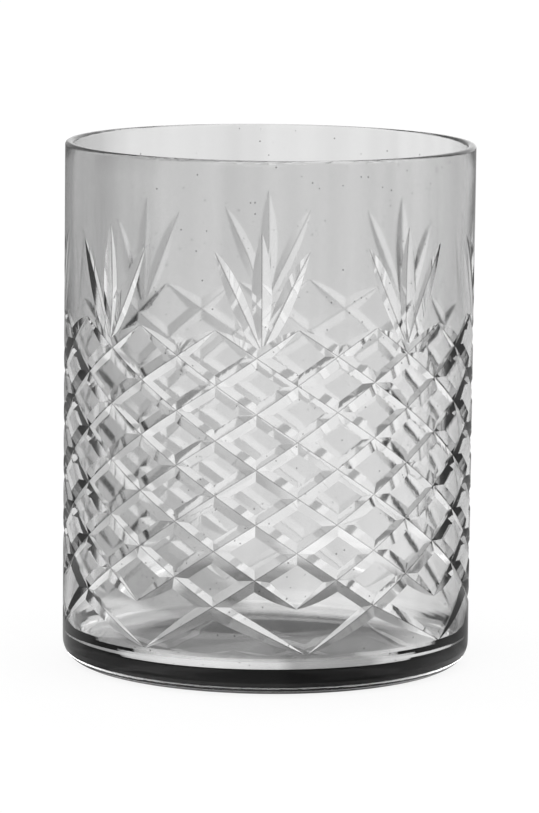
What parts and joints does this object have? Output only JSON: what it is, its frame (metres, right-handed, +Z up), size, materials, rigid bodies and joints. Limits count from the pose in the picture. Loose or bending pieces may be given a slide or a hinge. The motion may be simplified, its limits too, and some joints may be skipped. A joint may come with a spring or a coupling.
{
  "type": "whiskey tumbler",
  "caption": "Straight-sided whiskey tumbler in smoke-grey glass, with a heavy base, an eased rim and cut fans above a lattice of diamonds.",
  "frame": {"origin": "middle of the foot, on the surface the glass stands on", "axes": "+Z up along the glass's axis, -Y towards the middle of one fan, taken as the front"},
  "size_m": [0.08, 0.08, 0.102],
  "materials": {
    "smoke_glass": "polished smoke-grey glass, cut facets polished clear"
  },
  "bodies": {
    "root": {"tumbler_glass": "smoke_glass"}
  },
  "joints": []
}
